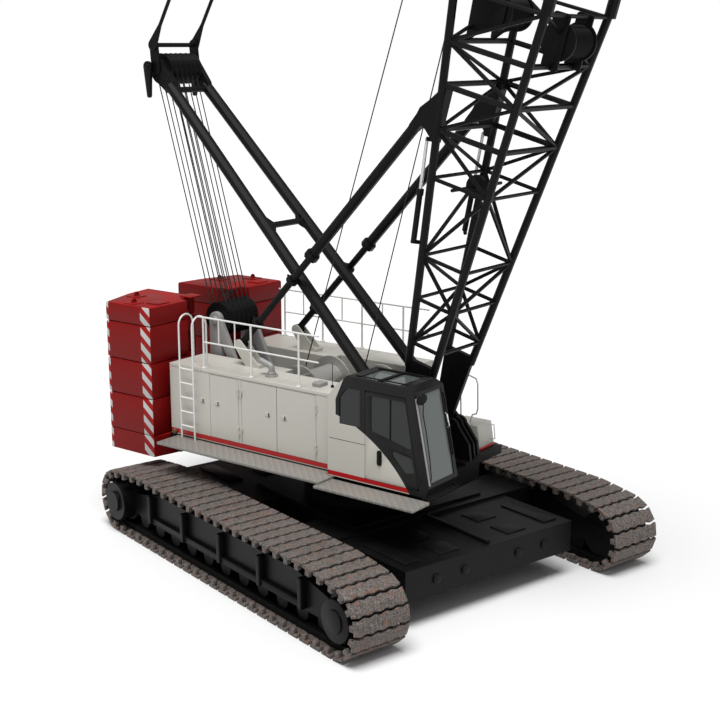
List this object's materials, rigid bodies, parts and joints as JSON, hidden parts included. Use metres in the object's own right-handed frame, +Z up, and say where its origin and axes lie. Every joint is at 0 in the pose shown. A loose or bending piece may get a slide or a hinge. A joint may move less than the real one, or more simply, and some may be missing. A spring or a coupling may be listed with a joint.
{
  "type": "crawler crane",
  "caption": "Lattice boom crawler crane with live mast, turning upper works, side cab, stacked counterweight and broad tracks.",
  "frame": {"origin": "on the ground, in the middle of the whole crane seen from above", "axes": "+X forward along the upper works, +Y to its left, +Z up along the slewing axis. The tracks are turned 15.22 degrees to the right of +X, as parked in the picture"},
  "size_m": [15.4252, 8.8772, 32.0866],
  "materials": {
    "black": "satin black paint",
    "cream": "satin cream paint",
    "red": "satin dark red paint",
    "shoe": "worn cast steel",
    "plate": "grey painted tread plate and rail",
    "glass": "dark tinted glass",
    "steel": "bare steel",
    "rubber": "black moulded seat"
  },
  "bodies": {
    "lower": {"car_body": "black", "side_frame_left": "black", "side_frame_right": "black", "track_left": "shoe", "track_right": "shoe", "slewing_ring": "steel"},
    "upper": {"upper_frame": "black", "house_left": "cream", "house_right": "cream", "engine": "black", "pump_unit": "black", "counterweight_tray": "red", "slab_left_1": "red", "slab_left_2": "red", "slab_left_3": "red", "slab_left_4": "red", "slab_right_1": "red", "slab_right_2": "red", "slab_right_3": "red", "slab_right_4": "red", "cab": "cream", "quarter_glass": "glass", "left_glass": "glass", "windscreen": "glass", "roof_glass": "glass", "operator_seat": "rubber", "catwalk_left": "plate", "catwalk_right": "plate", "handrail_left": "plate", "handrail_right": "plate", "gantry": "black"},
    "cab_door": {"cab_door": "black", "door_glass": "glass"},
    "drum_front": {"winch_drum_front": "steel"},
    "drum_rear": {"winch_drum_rear": "steel"},
    "gantry_sheaves": {"gantry_sheaves": "black"},
    "boom": {"boom_base": "black", "boom_insert": "black", "boom_top": "black"},
    "tip_sheaves": {"tip_sheaves": "black"},
    "hook_block": {"hook_block": "red"},
    "mast": {"mast": "black"},
    "mast_sheaves": {"mast_sheaves": "black"},
    "house_door_right_2": {"house_door_right_2": "cream"},
    "house_door_right_3": {"house_door_right_3": "cream"},
    "house_door_right_4": {"house_door_right_4": "cream"},
    "house_door_left_1": {"house_door_left_1": "cream"},
    "house_door_left_2": {"house_door_left_2": "cream"},
    "house_door_left_3": {"house_door_left_3": "cream"},
    "house_door_left_4": {"house_door_left_4": "cream"},
    "pendant_left": {"pendant_left": "black"},
    "pendant_right": {"pendant_right": "black"},
    "backstop_rod_left": {"backstop_rod_left": "black"},
    "backstop_tube_left": {"backstop_tube_left": "black"},
    "backstop_rod_right": {"backstop_rod_right": "black"},
    "backstop_tube_right": {"backstop_tube_right": "black"}
  },
  "joints": [
    {"name": "slew", "type": "hinge", "parent": "lower", "child": "upper", "pos_m": [-2.44262, -0.00698, 1.494], "axis": [0, 0, 1], "continuous": true},
    {"name": "house_door_right_2_hinge", "type": "hinge", "parent": "upper", "child": "house_door_right_2", "pos_m": [-4.22962, -1.62498, 2.06], "axis": [0, 0, 1], "range_deg": [0, 90]},
    {"name": "house_door_right_3_hinge", "type": "hinge", "parent": "upper", "child": "house_door_right_3", "pos_m": [-4.15962, -1.62498, 2.06], "axis": [0, 0, -1], "range_deg": [0, 90]},
    {"name": "house_door_right_4_hinge", "type": "hinge", "parent": "upper", "child": "house_door_right_4", "pos_m": [-2.39762, -1.62498, 2.06], "axis": [0, 0, 1], "range_deg": [0, 90]},
    {"name": "house_door_left_1_hinge", "type": "hinge", "parent": "upper", "child": "house_door_left_1", "pos_m": [-5.70262, 1.61102, 2.06], "axis": [0, 0, 1], "range_deg": [0, 90]},
    {"name": "house_door_left_2_hinge", "type": "hinge", "parent": "upper", "child": "house_door_left_2", "pos_m": [-4.22962, 1.61102, 2.06], "axis": [0, 0, -1], "range_deg": [0, 90]},
    {"name": "house_door_left_3_hinge", "type": "hinge", "parent": "upper", "child": "house_door_left_3", "pos_m": [-4.15962, 1.61102, 2.06], "axis": [0, 0, 1], "range_deg": [0, 90]},
    {"name": "house_door_left_4_hinge", "type": "hinge", "parent": "upper", "child": "house_door_left_4", "pos_m": [-2.39762, 1.61102, 2.06], "axis": [0, 0, -1], "range_deg": [0, 90]},
    {"name": "cab_door_hinge", "type": "hinge", "parent": "upper", "child": "cab_door", "pos_m": [-0.06262, -1.80498, 2.04], "axis": [0, 0, 1], "range_deg": [0, 95]},
    {"name": "drum_front_spin", "type": "hinge", "parent": "upper", "child": "drum_front", "pos_m": [-2.47262, -0.00698, 2.95], "axis": [0, 1, 0], "continuous": true},
    {"name": "drum_rear_spin", "type": "hinge", "parent": "upper", "child": "drum_rear", "pos_m": [-3.68262, -0.00698, 2.95], "axis": [0, 1, 0], "continuous": true},
    {"name": "gantry_sheaves_spin", "type": "hinge", "parent": "upper", "child": "gantry_sheaves", "pos_m": [-5.80262, -0.00698, 4.02], "axis": [0, 1, 0], "continuous": true},
    {"name": "boom_luff", "type": "hinge", "parent": "upper", "child": "boom", "pos_m": [-1.27262, -0.00698, 2.2], "axis": [0, -1, 0], "range_deg": [-45, 5]},
    {"name": "tip_sheaves_spin", "type": "hinge", "parent": "boom", "child": "tip_sheaves", "pos_m": [7.06848, -0.00698, 31.7066], "axis": [0, 1, 0], "continuous": true},
    {"name": "hook_swing", "type": "hinge", "parent": "boom", "child": "hook_block", "pos_m": [7.06848, -0.00698, 31.7066], "axis": [0, -1, 0], "range_deg": [-5.2, 45.2]},
    {"name": "mast_luff", "type": "hinge", "parent": "upper", "child": "mast", "pos_m": [-0.94262, -0.00698, 2.47], "axis": [0, -1, 0], "range_deg": [-45.13, 5.19]},
    {"name": "mast_sheaves_spin", "type": "hinge", "parent": "mast", "child": "mast_sheaves", "pos_m": [-7.14262, -0.00698, 8.8], "axis": [0, 1, 0], "continuous": true},
    {"name": "pendant_left_swing", "type": "hinge", "parent": "mast", "child": "pendant_left", "pos_m": [-7.18262, 0.56832, 9.25], "axis": [0, -1, 0], "range_deg": [-0.838, 0.138]},
    {"name": "pendant_right_swing", "type": "hinge", "parent": "mast", "child": "pendant_right", "pos_m": [-7.18262, -0.58228, 9.25], "axis": [0, -1, 0], "range_deg": [-0.838, 0.138]},
    {"name": "backstop_left_tilt", "type": "hinge", "parent": "upper", "child": "backstop_rod_left", "pos_m": [-4.80262, 0.84302, 3.74], "axis": [0, -1, 0], "range_deg": [-32.1, 3.75]},
    {"name": "backstop_left_slide", "type": "slide", "parent": "backstop_rod_left", "child": "backstop_tube_left", "axis": [0.6835, 0, 0.73], "range_m": [-0.289, 2.519]},
    {"name": "backstop_right_tilt", "type": "hinge", "parent": "upper", "child": "backstop_rod_right", "pos_m": [-4.80262, -0.85698, 3.74], "axis": [0, -1, 0], "range_deg": [-32.1, 3.75]},
    {"name": "backstop_right_slide", "type": "slide", "parent": "backstop_rod_right", "child": "backstop_tube_right", "axis": [0.6835, 0, 0.73], "range_m": [-0.289, 2.519]}
  ],
  "couplings": [
    {"joint": "hook_swing", "follows": "boom_luff", "ratio": -1},
    {"joint": "mast_luff", "follows": "boom_luff", "ratio": 0.9985},
    {"joint": "pendant_left_swing", "follows": "boom_luff", "ratio": 0.0175},
    {"joint": "pendant_right_swing", "follows": "boom_luff", "ratio": 0.0175},
    {"joint": "backstop_left_tilt", "follows": "boom_luff", "ratio": 0.709},
    {"joint": "backstop_left_slide", "follows": "boom_luff", "m_per_rad": -3.195},
    {"joint": "backstop_right_tilt", "follows": "boom_luff", "ratio": 0.709},
    {"joint": "backstop_right_slide", "follows": "boom_luff", "m_per_rad": -3.195}
  ]
}
